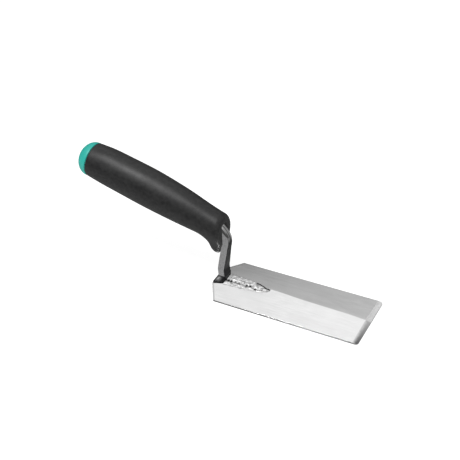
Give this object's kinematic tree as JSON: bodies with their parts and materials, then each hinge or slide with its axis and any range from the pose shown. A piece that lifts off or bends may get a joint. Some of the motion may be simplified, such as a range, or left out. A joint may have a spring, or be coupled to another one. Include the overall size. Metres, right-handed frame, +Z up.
{
  "type": "margin trowel",
  "caption": "Margin trowel with a flat rectangular steel blade, a cranked forged shank and a soft-grip handle with a domed end cap, for pointing and small patching work.",
  "frame": {"origin": "centre of the blade's flat underside", "axes": "+X along the blade towards its front edge, +Y to the left side seen from the handle, +Z up from the blade towards the handle"},
  "size_m": [0.2433, 0.0508, 0.0984],
  "materials": {
    "blade_steel": "fine linear grind along the blade, polished edges",
    "forged_steel": "forged and tumbled, darker than the blade, slightly uneven",
    "weld_metal": "rough rippled weld bead, partly ground",
    "core_plastic": "plain moulded plastic",
    "soft_grip": "fine matt texture, soft sheen",
    "cap_plastic": "satin moulded plastic"
  },
  "bodies": {
    "root": {"blade": "blade_steel", "shank": "forged_steel", "weld": "weld_metal", "handle_core": "core_plastic", "grip": "soft_grip", "end_cap": "cap_plastic"}
  },
  "joints": []
}
